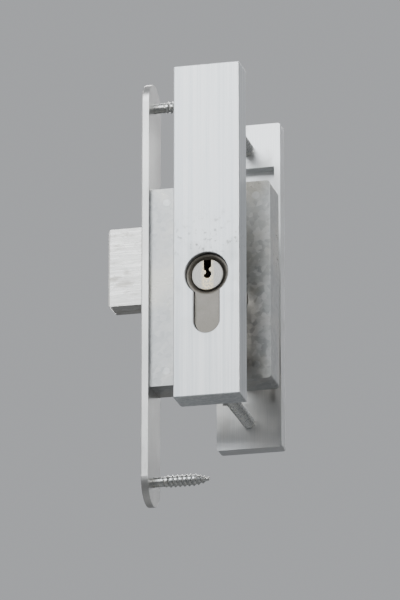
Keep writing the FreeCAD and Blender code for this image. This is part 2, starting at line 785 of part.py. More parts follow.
def make_turn_shaft():
    """Turn shaft: grooved inner end, flange outside the cylinder, flatted spindle for the knob."""
    flange = s.half_in + s.close
    flange_end = flange + 1.9
    body = turned("turn_shaft", (
        *tail_end(flange), (s.collar_round, flange), (s.collar_round, flange_end),
        (s.spindle_round, flange_end), (s.spindle_round, SPINDLE_END), (0.0, SPINDLE_END),
    ), PLUG_X, 0.0, PLUG_Z, INWARD)
    coupler_hole(body, s.tail_gap, SHAFT_HOLE)
    pocket(body, "XY_Plane", flange_end, SPINDLE_END, box(
        -s.spindle_round, s.spindle_round, s.spindle_round - 0.5, s.spindle_round + 1.0,
    ))
    return node(body)


def make_knob():
    """Oval knob with waisted sides, bored for the spindle and cross drilled for its grub screw."""
    body = new_body("thumbturn_knob")
    back = s.half_in + s.close + 2.1
    radius = s.turn_wide / 2
    reach = s.turn_tall / 2 - radius
    pad(body, "XZ_Plane", back, TURN_END, slot(
        PLUG_X, PLUG_X, PLUG_Z - reach, PLUG_Z + reach, radius,
    ))
    scoop = s.turn_deep * 0.62
    middle = (back + TURN_END) / 2 + 1.0
    for side in (-1, 1):
        centre = PLUG_X + (radius + scoop - 1.3) * side
        pocket(body, "XY_Plane", PLUG_Z - s.turn_tall, PLUG_Z + s.turn_tall, circle(centre, middle, scoop))
    pocket(body, "XZ_Plane", back, SPINDLE_END + 0.5, circle(PLUG_X, PLUG_Z, s.spindle_round + s.turning))
    grub = s.screw_shank + s.turning
    pocket(body, "XY_Plane", PLUG_Z - s.turn_tall / 2, PLUG_Z, circle(PLUG_X, GRUB_Y, grub))
    front = edges_where(body, lambda edge, spots: on(spots, "y", TURN_END))
    dress(body, "Fillet", front, s.knob_round)
    rear = edges_where(body, lambda edge, spots: on(spots, "y", back) and not round_edge(
        edge, s.spindle_round + s.turning))
    dress(body, "Fillet", rear, s.edge_round)
    return node(body)


def make_grub_screw():
    long = s.spindle_round
    body = turned("thumbturn_grub_screw", (
        (0.0, 0.0), (s.screw_shank - 0.3, 0.0), (s.screw_shank, 0.3), (s.screw_shank, long), (0.0, long),
    ), PLUG_X, GRUB_Y, PLUG_Z - s.spindle_round + 0.4, Rotation(Vector(1, 0, 0), 180))
    pocket(body, "XY_Plane", long - 1.6, long, hexagon(s.screw_shank * 0.55))
    return node(body)


# ---------------------------------------------------------------- mortise case
def make_case_tray():
    """Pressed steel tray: floor on the outside and four walls, the front one behind the forend."""
    body = new_body("case_tray")
    wall = s.case_wall
    pad(body, "XZ_Plane", -CASE_SIDE, ROOM, box(0.0, CASE_BACK, -CASE_TOP, CASE_TOP))
    pocket(body, "XZ_Plane", -ROOM, ROOM, box(wall, CASE_BACK - wall, wall - CASE_TOP, CASE_TOP - wall))
    pocket(body, "XZ_Plane", -CASE_SIDE, -ROOM, euro_profile(s.slip))
    spigot = s.rivet_shank + s.turning
    small = s.screw_shank + s.turning
    pocket(body, "XZ_Plane", -CASE_SIDE, -ROOM, several(
        *(circle(x, z, spigot) for x, z in CASE_POSTS), circle(GUIDE_X, GUIDE_Z, small),
    ))
    front_holes(body, 0.0, wall)
    corner = edges_where(body, lambda edge, spots: on(spots, "x", CASE_BACK) and (
        on(spots, "z", CASE_TOP) or on(spots, "z", -CASE_TOP)))
    dress(body, "Fillet", corner, s.case_wall)
    return node(body)


def front_holes(body, low, high):
    """Holes along X shared by the forend and the case's front wall."""
    gap = s.close
    half = s.bolt_thick / 2 + gap
    pocket(body, "YZ_Plane", low, high, box(-half, half, BOLT_FOOT - gap, BOLT_TOP + gap))
    shank = s.rivet_shank + s.turning
    pocket(body, "YZ_Plane", low, high, several(*(circle(0.0, z, shank) for z in RIVETS)))
    pocket(body, "YZ_Plane", low, high, circle(0.0, FIXING_Z, s.bolt_shank + s.turning))


def make_case_cover():
    """Flat steel cover on the room side of the case."""
    body = new_body("case_cover")
    pad(body, "XZ_Plane", ROOM, CASE_SIDE, box(0.0, CASE_BACK, -CASE_TOP, CASE_TOP))
    pocket(body, "XZ_Plane", ROOM, CASE_SIDE, euro_profile(s.slip))
    small = s.screw_shank + s.turning
    pocket(body, "XZ_Plane", ROOM, CASE_SIDE, several(
        *(circle(x, z, small) for x, z in CASE_POSTS), circle(GUIDE_X, GUIDE_Z, small),
        circle(PIVOT_X, STUMP_Z, s.rivet_shank + s.turning),
    ))
    corner = edges_where(body, lambda edge, spots: on(spots, "x", CASE_BACK) and (
        on(spots, "z", CASE_TOP) or on(spots, "z", -CASE_TOP)))
    dress(body, "Fillet", corner, s.case_wall)
    return node(body)


def make_case_posts():
    """Four posts, riveted through the tray's floor and tapped for the cover's screws."""
    bore = s.screw_shank + s.turning
    group("case_posts", [
        turned(f"case_post_{i}", (
            (0.0, -CASE_SIDE), (s.rivet_shank, -CASE_SIDE), (s.rivet_shank, -ROOM), (s.post_round, -ROOM),
            (s.post_round, ROOM), (bore, ROOM), (bore, -ROOM * 0.5), (0.0, -ROOM * 0.5),
        ), x, 0.0, z, INWARD)
        for i, (x, z) in enumerate(CASE_POSTS, start=1)
    ])


def make_case_screws():
    group("case_screws", [
        pan_screw(f"case_screw_{i}", s.screw_shank, s.case_thick * 0.55, x, CASE_SIDE, z, INWARD)
        for i, (x, z) in enumerate(CASE_POSTS, start=1)
    ])


def make_guide_post():
    """Post through the bolt's slot, riveted at both ends."""
    small = s.screw_shank
    return node(turned("guide_post", (
        (0.0, -CASE_SIDE), (small, -CASE_SIDE), (small, -ROOM), (s.guide_round, -ROOM),
        (s.guide_round, ROOM), (small, ROOM), (small, CASE_SIDE), (0.0, CASE_SIDE),
    ), GUIDE_X, 0.0, GUIDE_Z, INWARD))


def make_lever_pivot():
    """Shouldered stud that carries the lever, riveted in the cover."""
    shoulder = s.pivot_round + 1.1
    return node(turned("lever_pivot", (
        (0.0, LEVER_NEAR - 0.2), (s.pivot_round, LEVER_NEAR - 0.2), (s.pivot_round, LEVER_FAR + 0.1),
        (shoulder, LEVER_FAR + 0.1), (shoulder, ROOM), (s.rivet_shank, ROOM),
        (s.rivet_shank, CASE_SIDE), (0.0, CASE_SIDE),
    ), PIVOT_X, 0.0, STUMP_Z, INWARD))


# ---------------------------------------------------------------- forend
def make_forend():
    """Face plate in the door's edge, with round ends."""
    body = new_body("forend")
    face = -s.forend_thick
    radius = s.forend_wide / 2
    reach = s.forend_tall / 2 - radius
    pad(body, "YZ_Plane", face, 0.0, slot(0.0, 0.0, -reach, reach, radius))
    front_holes(body, face, 0.0)
    sink(body, "x", face, s.rivet_shank + s.turning, sink_depth(s.rivet_shank))
    sink(body, "x", face, s.bolt_shank + s.turning, sink_depth(s.bolt_shank))
    wood = s.wood_shank + s.slip + s.turning
    pocket(body, "YZ_Plane", face, 0.0, several(*(circle(0.0, z, wood) for z in FOREND_SCREWS)))
    sink(body, "x", face, wood, sink_depth(s.wood_shank) - s.slip)

    def rim(edge, spots):
        upright = on(spots, "y", radius) or on(spots, "y", -radius)
        return on(spots, "x", face) and (upright or round_edge(edge, radius))

    dress(body, "Fillet", edges_where(body, rim), s.edge_round)
    return node(body)


def make_rivets():
    """Rivets that join the forend to the case."""
    r = s.rivet_shank
    head = r * (1 + SINK)
    inside = s.forend_thick + s.case_wall
    items = []
    for i, z in enumerate(RIVETS, start=1):
        items.append(turned(f"forend_rivet_{i}", (
            (0.0, 0.0), (head, 0.0), (head, LIP), (r, LIP + r * SINK), (r, inside),
            (r * 1.5, inside), (r * 1.3, inside + 0.7), (r * 0.7, inside + 1.1), (0.0, inside + 1.1),
        ), -s.forend_thick, 0.0, z, INTO))
    group("forend_rivets", items)


def make_wood_screws():
    """Countersunk wood screws that hold the forend in the door's edge, thicker where it clamps them."""
    neck_round = s.wood_shank + s.slip
    neck_start = LIP + s.wood_shank * (1 + SINK) - neck_round
    neck = ((neck_round, -neck_start), (neck_round, -s.forend_thick), (s.wood_shank, -s.forend_thick))
    group("forend_wood_screws", [
        countersunk(f"forend_wood_screw_{i}", s.wood_shank, s.wood_long, 6.0,
                    -s.forend_thick, 0.0, z, OUT, neck)
        for i, z in enumerate(FOREND_SCREWS, start=1)
    ])


def make_fixing_screw():
    """Long screw from the forend into the cylinder."""
    length = s.backset + s.profile_leg - 0.5
    return node(countersunk("cylinder_fixing_screw", s.bolt_shank, length, 0.8,
                            -s.forend_thick, 0.0, FIXING_Z, OUT))


# ---------------------------------------------------------------- bolt and lever
ROLLERS = (-s.forend_thick - s.bolt_throw + 5.0, -s.forend_thick - s.bolt_throw + 11.0)


def make_bolt():
    """Bolt, drawn thrown: a thick head, a thinner slotted tail and the notch the cam's finger works in."""
    body = new_body("deadbolt")
    face = -s.forend_thick - s.bolt_throw
    half = s.bolt_thick / 2
    pad(body, "XZ_Plane", -half, half, box(face, HEAD_BACK, BOLT_FOOT, BOLT_TOP))
    pad(body, "XZ_Plane", -half, TAIL_FACE, box(HEAD_BACK, TAIL_END, TAIL_FOOT, BOLT_TOP))
    pocket(body, "XZ_Plane", -half, TAIL_FACE, box(
        NOTCH_X - s.notch_half, NOTCH_X + s.notch_half, TAIL_FOOT, NOTCH_ROOF,
    ))
    pocket(body, "XZ_Plane", -half, TAIL_FACE, slot(
        GUIDE_X - s.bolt_throw, GUIDE_X, GUIDE_Z, GUIDE_Z, s.guide_round + s.slip,
    ))
    pocket(body, "XZ_Plane", TAIL_FACE - 2.5, TAIL_FACE, circle(STUMP_X, STUMP_Z, STUMP_SPIGOT + s.turning))
    pocket(body, "XY_Plane", BOLT_FOOT + 3.0, BOLT_TOP, several(
        *(circle(x, 0.0, s.stump_round + s.turning) for x in ROLLERS)
    ))
    rim = edges_where(body, lambda edge, spots: on(spots, "x", face))
    dress(body, "Chamfer", rim, 0.8)
    return node(body)


STUMP_SPIGOT = s.stump_round - 0.5


def make_stump():
    """Stump riveted in the bolt's tail, working in the lever's gate."""
    return node(turned("bolt_stump", (
        (0.0, TAIL_FACE - 2.4), (STUMP_SPIGOT, TAIL_FACE - 2.4), (STUMP_SPIGOT, TAIL_FACE),
        (s.stump_round, TAIL_FACE), (s.stump_round, LEVER_FAR + 0.3), (0.0, LEVER_FAR + 0.3),
    ), STUMP_X, 0.0, STUMP_Z, INWARD))


def make_rollers():
    """Hardened rollers that stop a saw, loose in the bolt's head."""
    low = BOLT_FOOT + 3.2
    high = BOLT_TOP - 1.0
    group("bolt_rollers", [
        turned(f"bolt_roller_{i}", (
            (0.0, low), (s.stump_round, low), (s.stump_round, high), (0.0, high),
        ), x, 0.0, 0.0)
        for i, x in enumerate(ROLLERS, start=1)
    ])


def make_lever():
    """Locking lever, drawn lifted: a gate for the stump with a pocket at either end of the throw."""
    body = new_body("locking_lever")
    eye = s.pivot_round + 1.7
    pad(body, "XZ_Plane", LEVER_NEAR, LEVER_FAR, box(LEVER_TIP, PIVOT_X - 3.5, LEVER_FOOT, LEVER_TOP))
    pad(body, "XZ_Plane", LEVER_NEAR, LEVER_FAR, circle(PIVOT_X, STUMP_Z, eye))
    pad(body, "XZ_Plane", LEVER_NEAR, LEVER_FAR, box(
        PIVOT_X - 4.5, PIVOT_X, STUMP_Z - eye + 0.2, STUMP_Z + eye - 0.2,
    ))
    pocket(body, "XZ_Plane", LEVER_NEAR, LEVER_FAR, circle(PIVOT_X, STUMP_Z, s.pivot_round + s.turning))
    far = STUMP_X + s.bolt_throw
    pocket(body, "XZ_Plane", LEVER_NEAR, LEVER_FAR, slot(STUMP_X, far, STUMP_Z, STUMP_Z, CHANNEL))
    for x in (STUMP_X, far):
        drop = (PIVOT_X - x) * math.sin(math.radians(LEVER_DROP)) + s.close * 2
        pocket(body, "XZ_Plane", LEVER_NEAR, LEVER_FAR, slot(x, x, STUMP_Z, STUMP_Z + drop, CHANNEL))
    return node(body)


def make_lever_spring():
    """Bent leaf spring, caught behind a case post and pressing on the lever's tip."""
    body = new_body("lever_spring")
    back = CASE_BACK - 2.45
    bend_z = GUIDE_Z + s.guide_round + 5.2
    knee_x = LEVER_TIP + 4.2
    knee_z = GUIDE_Z + s.guide_round + 1.6
    foot = LEVER_TOP + 0.15
    low = LEVER_NEAR + 0.5
    pad(body, "XZ_Plane", low, low + 1.6, polygon(
        (back - 0.25, CASE_TOP - 2.0), (back + 0.25, CASE_TOP - 2.0), (back + 0.25, bend_z - 0.25),
        (knee_x + 0.2, knee_z - 0.25), (LEVER_TIP + 2.0, foot), (LEVER_TIP + 1.5, foot),
        (knee_x - 0.2, knee_z + 0.25), (back - 0.25, bend_z + 0.2),
    ))
    return node(body)


# ---------------------------------------------------------------- the lock
make_outer_cover()
make_base_plate()
make_drill_plate()
make_base_screws()
make_sleeves()
make_inner_plate()
make_through_bolts()
make_cylinder_body()
make_guard_pins()
make_outer_plug()
clip("outer_plug_clip", OUTWARD)
coupler("outer_coupler", s.tail_gap + 0.1, COUPLER_OUT, OUTWARD)
make_pins()
make_cam()
make_turn_shaft()
clip("turn_shaft_clip", INWARD)
coupler("inner_coupler", s.close - CAM_POCKET, COUPLER_IN, INWARD)
node(coil(
    "coupler_spring", s.coupler_core - 1.0, COUPLER_WIRE, COUPLER_IN, SHAFT_HOLE, 3.0,
    PLUG_X, 0.0, PLUG_Z, INWARD,
))
make_knob()
make_grub_screw()
make_case_tray()
make_case_cover()
make_case_posts()
make_case_screws()
make_guide_post()
make_lever_pivot()
make_forend()
make_rivets()
make_wood_screws()
make_fixing_screw()
make_bolt()
make_stump()
make_rollers()
make_lever()
make_lever_spring()
doc.recompute()

# ---------------------------------------------------------------- checks and files
faults = []
for item in doc.Objects:
    if not item.isValid():
        faults.append(f"{item.Label}: {item.State}")
for item in NODES:
    shape = item.Shape
    if shape.isNull() or not shape.isValid() or not shape.Solids:
        faults.append(f"{item.Label}: bad shape")
    elif any(solid.Volume <= 0 or not solid.isClosed() for solid in shape.Solids):
        faults.append(f"{item.Label}: open or inside-out solid")
if faults:
    raise RuntimeError("; ".join(faults))

os.makedirs("parts", exist_ok=True)
for item in NODES:
    item.Shape.exportStep(f"parts/{item.Label}.step")
    print(f"{item.Label}: {len(item.Shape.Solids)} solids, {item.Shape.Volume:.1f} cubic mm")
print(f"{len(NODES)} nodes")
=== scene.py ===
import json
import math

import bmesh
import bpy
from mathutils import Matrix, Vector


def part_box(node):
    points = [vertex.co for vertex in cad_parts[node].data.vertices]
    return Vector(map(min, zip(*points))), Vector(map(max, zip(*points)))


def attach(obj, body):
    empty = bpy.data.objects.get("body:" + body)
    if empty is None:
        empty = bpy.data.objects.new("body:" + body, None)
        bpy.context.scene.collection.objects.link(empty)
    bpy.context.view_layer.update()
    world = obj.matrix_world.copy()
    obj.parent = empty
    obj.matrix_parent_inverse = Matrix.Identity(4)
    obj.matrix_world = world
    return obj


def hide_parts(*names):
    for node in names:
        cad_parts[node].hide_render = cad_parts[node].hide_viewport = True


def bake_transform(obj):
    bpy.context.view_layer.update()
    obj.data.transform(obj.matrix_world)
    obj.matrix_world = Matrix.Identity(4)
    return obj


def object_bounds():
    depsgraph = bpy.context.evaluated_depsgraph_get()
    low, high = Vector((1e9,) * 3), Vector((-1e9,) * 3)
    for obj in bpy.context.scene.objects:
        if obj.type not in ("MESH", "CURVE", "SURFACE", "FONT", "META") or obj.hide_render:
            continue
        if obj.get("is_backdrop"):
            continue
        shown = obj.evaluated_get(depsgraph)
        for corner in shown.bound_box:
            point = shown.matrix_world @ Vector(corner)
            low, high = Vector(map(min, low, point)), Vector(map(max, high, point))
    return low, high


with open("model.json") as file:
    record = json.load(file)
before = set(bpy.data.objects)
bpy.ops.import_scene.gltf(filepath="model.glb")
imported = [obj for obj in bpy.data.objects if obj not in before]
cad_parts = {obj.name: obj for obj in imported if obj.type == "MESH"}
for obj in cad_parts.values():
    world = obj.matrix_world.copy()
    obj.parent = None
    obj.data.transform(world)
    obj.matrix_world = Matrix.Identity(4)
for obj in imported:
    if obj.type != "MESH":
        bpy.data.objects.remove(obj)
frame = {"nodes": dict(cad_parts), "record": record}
low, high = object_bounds()

# Forend: the satin stainless strip let into the edge of the door, which carries everything else.
# It is stamped from sheet and linished lengthways, and its countersinks are cut afterwards.


class Wire:
    """One output of a shader node. Arithmetic on it adds Math nodes to its material."""

    def __init__(self, tree, socket=None):
        self.tree = tree
        self.socket = socket

    def node(self, kind, settings=None, sockets=None, out=0):
        """Adds a node: first its settings, then the values or links of its sockets."""
        made = self.tree.nodes.new("ShaderNode" + kind)
        for key, setting in (settings or {}).items():
            setattr(made, key, setting)
        for key, given in (sockets or {}).items():
            if isinstance(given, Wire):
                self.tree.links.new(given.socket, made.inputs[key])
            else:
                made.inputs[key].default_value = given
        return None if out is None else Wire(self.tree, made.outputs[out])

    def math(self, operation, first, second=0.0):
        return self.node("Math", {"operation": operation}, {0: first, 1: second})

    def __add__(self, other):
        return self.math("ADD", self, other)

    def __sub__(self, other):
        return self.math("SUBTRACT", self, other)

    def __rsub__(self, other):
        return self.math("SUBTRACT", other, self)

    def __mul__(self, other):
        return self.math("MULTIPLY", self, other)

    def __pow__(self, other):
        return self.math("POWER", self, other)

    def __rpow__(self, other):
        return self.math("POWER", other, self)

    __radd__ = __add__
    __rmul__ = __mul__


MM = 1000.0  # object coordinates are read in millimetres


def new_material(name):
    """An empty material, with the wire of its object coordinates in millimetres."""
    material = bpy.data.materials.new(name)
    material.use_nodes = True
    material.node_tree.nodes.clear()
    start = Wire(material.node_tree)
    place = start.node("TexCoord", out="Object")
    place = start.node("VectorMath", {"operation": "SCALE"}, {0: place, "Scale": MM})
    return material, place


def noise(place, stretch, detail=2.0, rough=0.5):
    """Noise from 0 to 1, with as many waves to the millimetre along X, Y and Z as stretch says."""
    spread = place.node("VectorMath", {"operation": "MULTIPLY"}, {0: place, 1: stretch})
    return place.node("TexNoise", None, {
        "Vector": spread, "Scale": 1.0, "Detail": detail, "Roughness": rough,
    })


def step(value, low, high):
    """0 below low and 1 above high, with a smooth slope between them."""
    return value.node("MapRange", {"interpolation_type": "SMOOTHSTEP"}, {
        "Value": value, "From Min": low, "From Max": high,
    })


def blend(mask, below, above):
    """One colour where the mask is 0, the other where it is 1."""
    return mask.node("Mix", {"data_type": "RGBA"}, {0: mask, 6: below, 7: above}, out=2)


def finish_metal(material, colour, rough, height, depth):
    """Closes a metal's tree. height feeds a bump of depth millimetres."""
    bump = height.node("Bump", None, {"Strength": 1.0, "Distance": depth / MM, "Height": height})
    shader = height.node("BsdfPrincipled", None, {
        "Base Color": colour, "Metallic": 1.0, "Roughness": rough, "Normal": bump,
    })
    height.node("OutputMaterial", None, {"Surface": shader}, out=None)
    return material


def dress(material, *nodes):
    """Gives a finish to each of these pieces."""
    for name in nodes:
        for held in frame["nodes"][name].material_slots:
            held.material = material


def linished(name, grain, rough=0.32):
    """Sheet steel rubbed on a belt. grain is the belt's scratches, in waves to the millimetre."""
    material, place = new_material(name)
    lines = noise(place, grain, 4.0, 0.65)
    cloud = noise(place, (0.05, 0.05, 0.035), 3.0)
    stain = step(noise(place, (0.35, 0.35, 0.2), 6.0, 0.7), 0.58, 0.75)
    tone = step(lines * 0.5 + cloud * 0.5, 0.38, 0.62)
    colour = blend(tone, (0.50, 0.495, 0.485, 1.0), (0.66, 0.655, 0.64, 1.0))
    colour = blend(stain * 0.35, colour, (0.30, 0.285, 0.26, 1.0))
    return finish_metal(material, colour, lines * 0.16 + stain * 0.12 + (rough - 0.08), lines, 0.006)


dress(linished("forend stainless", (9.0, 9.0, 0.12)), "forend")

# Forend rivets: stainless rivets whose heads are ground flush with the forend's face.
# They join it to the front wall of the case, so only their faint outlines show.
dress(linished("rivet stainless", (7.0, 7.0, 0.3), 0.36), "forend_rivets")

# Case tray and cover: zinc plated steel sheet, pressed and bent, holding all the works.
# The plating has a fine spangle, a thin film of oil, and dull streaks where it slid through the press.


def zinc_sheet(name, streaks):
    material, place = new_material(name)
    spangle = place.node("TexVoronoi", {"feature": "F1"}, {
        "Vector": place, "Scale": 0.55,
    }, out="Color")
    spangle = spangle.node("SeparateColor", None, {"Color": spangle}, out="Red")
    streak = noise(place, streaks, 5.0, 0.6)
    film = step(noise(place, (0.045, 0.045, 0.045), 4.0, 0.6), 0.42, 0.62)
    dust = step(noise(place, (1.2, 1.2, 1.2), 6.0, 0.75), 0.6, 0.72)
    colour = blend(spangle * 0.6 + streak * 0.4, (0.29, 0.30, 0.305, 1.0), (0.55, 0.555, 0.55, 1.0))
    colour = blend(film * 0.5, colour, (0.47, 0.445, 0.39, 1.0))
    colour = blend(dust * 0.4, colour, (0.24, 0.22, 0.19, 1.0))
    rough = streak * 0.18 + spangle * 0.08 + dust * 0.2 + 0.24 - film * 0.06
    return finish_metal(material, colour, rough, streak + spangle * 0.15, 0.008)


dress(zinc_sheet("case zinc", (0.25, 3.5, 3.5)), "case_tray")
dress(zinc_sheet("cover zinc", (3.5, 3.5, 0.25)), "case_cover")

# Case posts, guide post, lever pivot and stump: steel turned from bar and plated bright.
# Each shows fine tool rings round its own axis, which runs through the door.


def turned_steel(name, rings, light=(0.54, 0.545, 0.54, 1.0), rough=0.26):
    """Bar steel from the lathe. rings is the tool marks, in waves to the millimetre."""
    material, place = new_material(name)
    marks = noise(place, rings, 3.0, 0.6)
    cloud = noise(place, (0.3, 0.3, 0.3), 4.0, 0.65)
    colour = blend(step(marks * 0.45 + cloud * 0.55, 0.36, 0.62), (0.36, 0.37, 0.375, 1.0), light)
    colour = blend(step(cloud, 0.6, 0.72) * 0.4, colour, (0.40, 0.36, 0.27, 1.0))
    return finish_metal(material, colour, marks * 0.16 + cloud * 0.14 + (rough - 0.1), marks, 0.005)


RINGS_Y = (0.15, 11.0, 0.15)
dress(turned_steel("post zinc", RINGS_Y), "case_posts", "guide_post", "lever_pivot", "bolt_stump")

# Case screws: pan heads of bright zinc plated steel that close the case's cover.
# Their plating is mottled, and worn to a dull brown in small patches.


def zinc_screw(name, stretch):
    material, place = new_material(name)
    grain = noise(place, stretch, 3.0, 0.6)
    mottle = noise(place, (0.7, 0.7, 0.7), 5.0, 0.7)
    worn = step(mottle, 0.56, 0.66)
    colour = blend(step(mottle, 0.3, 0.7), (0.47, 0.485, 0.49, 1.0), (0.68, 0.68, 0.655, 1.0))
    colour = blend(worn * 0.45, colour, (0.34, 0.30, 0.22, 1.0))
    return finish_metal(material, colour, grain * 0.14 + worn * 0.18 + 0.2, grain + mottle * 0.5, 0.006)


dress(zinc_screw("case screw zinc", (4.0, 0.4, 4.0)), "case_screws")

# Deadbolt: a steel bar, milled and ground, then nickel plated. It slides on its flanks, so the
# plating is rubbed into long bright and dull lines along its travel, with a little grease held in them.
material, place = new_material("bolt nickel")
ground = noise(place, (0.35, 7.0, 7.0), 4.0, 0.6)
rubs = step(noise(place, (0.03, 1.3, 1.3), 3.0, 0.7), 0.5, 0.64)
grease = step(noise(place, (0.12, 0.3, 0.3), 5.0, 0.65), 0.52, 0.68)
colour = blend(step(ground, 0.35, 0.65), (0.46, 0.455, 0.44, 1.0), (0.65, 0.64, 0.615, 1.0))
colour = blend(rubs * 0.5, colour, (0.76, 0.75, 0.73, 1.0))
colour = blend(grease * 0.35, colour, (0.27, 0.24, 0.18, 1.0))
rough = ground * 0.2 + grease * 0.1 + 0.2 - rubs * 0.06
dress(finish_metal(material, colour, rough, ground + rubs * 0.4, 0.008), "deadbolt")

# Bolt rollers, guard pins, couplers and the drill plate: steel hardened right through, left with
# the blue-black scale of its heat treatment, and rubbed bright in patches.


def hardened(name):
    material, place = new_material(name)
    scale = noise(place, (0.5, 0.5, 0.5), 6.0, 0.7)
    bright = step(noise(place, (0.9, 0.9, 0.9), 4.0, 0.6), 0.58, 0.68)
    colour = blend(step(scale, 0.35, 0.65), (0.075, 0.08, 0.095, 1.0), (0.19, 0.19, 0.195, 1.0))
    colour = blend(bright * 0.55, colour, (0.40, 0.395, 0.385, 1.0))
    return finish_metal(material, colour, scale * 0.25 + 0.3 - bright * 0.1, scale, 0.01)


dress(
    hardened("hardened steel"), "bolt_rollers", "drill_guard_pins", "outer_coupler", "inner_coupler",
    "anti_drill_plate", "thumbturn_grub_screw",
)

# Locking lever: stamped from half hard brass sheet and tumbled. Its skin has browned in patches
# and is bright between them.


def brass(name, grain, tarnish=0.5):
    material, place = new_material(name)
    lines = noise(place, grain, 3.0, 0.6)
    brown = step(noise(place, (0.25, 0.25, 0.25), 6.0, 0.7), 0.45, 0.66)
    colour = blend(step(lines, 0.35, 0.65), (0.66, 0.47, 0.19, 1.0), (0.80, 0.60, 0.27, 1.0))
    colour = blend(brown * tarnish, colour, (0.36, 0.22, 0.09, 1.0))
    return finish_metal(material, colour, lines * 0.15 + brown * 0.16 + 0.18, lines, 0.006)


dress(brass("lever brass", (0.4, 3.0, 3.0)), "locking_lever")

# Coil springs: wound from drawn and blued spring steel wire. Five small ones press the driver pins
# towards the plug, and one more sits behind the inner coupler.
material, place = new_material("blued spring steel")
drawn = noise(place, (1.6, 1.6, 1.6), 4.0, 0.6)
blue = step(noise(place, (0.2, 0.2, 0.2), 3.0, 0.6), 0.4, 0.65)
colour = blend(blue, (0.30, 0.24, 0.19, 1.0), (0.14, 0.18, 0.30, 1.0))
colour = blend(step(drawn, 0.55, 0.7) * 0.5, colour, (0.48, 0.48, 0.48, 1.0))
spring_steel = finish_metal(material, colour, drawn * 0.2 + 0.16, drawn, 0.004)
dress(spring_steel, "pin_springs", "coupler_spring")

# Lever spring: a leaf of the same blued steel, caught behind a case post and bearing on the lever's
# tip. The real leaf bends along its arm as the lever drops; here it is built in one bent shape.


def placed(name, shape, material):
    """Puts a bmesh in the scene as an object of one material."""
    data = bpy.data.meshes.new(name)
    shape.to_mesh(data)
    shape.free()
    data.materials.append(material)
    piece = bpy.data.objects.new(name, data)
    bpy.context.collection.objects.link(piece)
    return piece


def bar(name, cuts, material):
    """A solid bar skinned over its cuts, each a ring of corners."""
    shape = bmesh.new()
    rings = [[shape.verts.new(corner) for corner in cut] for cut in cuts]
    for near, far in zip(rings, rings[1:]):
        for a in range(len(near)):
            b = (a + 1) % len(near)
            shape.faces.new((near[a], near[b], far[b], far[a]))
    shape.faces.new(rings[0][::-1])
    shape.faces.new(rings[-1])
    bmesh.ops.recalc_face_normals(shape, faces=shape.faces)
    return placed(name, shape, material)


leaf_low, leaf_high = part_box("lever_spring")
LEAF_THICK = 0.5
LEAF_BEND = (leaf_high[0] * MM - LEAF_THICK / 2, 30.4)
LEAF_KNEE = (21.4, 26.8)
LEAF_TOP = (LEAF_BEND[0], leaf_high[2] * MM)
LEAF_FOOT = (leaf_low[0] * MM + LEAF_THICK / 2, leaf_low[2] * MM)
leaf_legs = (  # where each straight leg runs from and to, and how many parts it is cut into
    (LEAF_TOP, LEAF_BEND, 4),
    (LEAF_BEND, LEAF_KNEE, 20),
    (LEAF_KNEE, LEAF_FOOT, 8),
)
line = [
    (x0 + (x1 - x0) * i / parts, z0 + (z1 - z0) * i / parts)
    for (x0, z0), (x1, z1), parts in leaf_legs
    for i in range(parts)
]
line.append(LEAF_FOOT)
runs = [(Vector(b) - Vector(a)).normalized() for a, b in zip(line, line[1:])]
cuts = []
for (x, z), behind, ahead in zip(line, runs[:1] + runs, runs + runs[-1:]):
    along = (behind + ahead).normalized()
    across = Vector((-along.y, along.x)) * (LEAF_THICK / 2 / along.dot(ahead))
    cuts.append([
        ((x + across.x * face) / MM, y, (z + across.y * face) / MM)
        for face, y in ((-1, leaf_low[1]), (1, leaf_low[1]), (1, leaf_high[1]), (-1, leaf_high[1]))
    ])
leaf = bar("lever_leaf_spring", cuts, spring_steel)
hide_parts("lever_spring")
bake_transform(leaf)

# Retaining clips: punched from spring steel strip and plated. One snaps on the inner end of the
# keyed plug and one on the turn's shaft.
dress(turned_steel("clip steel", (2.0, 2.0, 2.0), rough=0.28), "outer_plug_clip", "turn_shaft_clip")

# Cylinder body: brass drawn to the euro profile, milled for the cam and nickel plated satin.
# Weather has dulled its outer face to a warm grey, and painted shade darkens the bevel round the plug.
plug_low, plug_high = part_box("outer_plug")
PLUG_X = (plug_low[0] + plug_high[0]) / 2 * MM
PLUG_Z = (plug_low[2] + plug_high[2]) / 2 * MM
PLUG_RADIUS = (plug_high[0] - plug_low[0]) / 2 * MM
BEVEL = 1.2
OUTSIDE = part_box("cylinder_body")[0][1] * MM


def from_key_axis(place):
    """Distance from the key's axis, in millimetres."""
    x = place.node("SeparateXYZ", None, {"Vector": place}, out="X") - PLUG_X
    z = place.node("SeparateXYZ", None, {"Vector": place}, out="Z") - PLUG_Z
    return (x * x + z * z) ** 0.5


def nickel(name, grain, light, dark, rough=0.3, dulling_and_shade=None):
    """Satin nickel plate over brass. dulling_and_shade is a mask of where the plate is dulled and where
    shade is painted on.
    """
    material, place = new_material(name)
    lines = noise(place, grain, 4.0, 0.6)
    cloud = noise(place, (0.12, 0.12, 0.12), 5.0, 0.65)
    colour = blend(step(lines * 0.5 + cloud * 0.5, 0.36, 0.64), dark, light)
    shade = lines * 0.16 + cloud * 0.12 + (rough - 0.12)
    if dulling_and_shade:
        mask = dulling_and_shade(place)
        # darkens the dulled outer face, and adds painted shade in the bevel round the plug
        colour = blend(mask, colour, (0.10, 0.09, 0.075, 1.0))
        shade = shade + mask * 0.3
    return finish_metal(material, colour, shade, lines, 0.006)


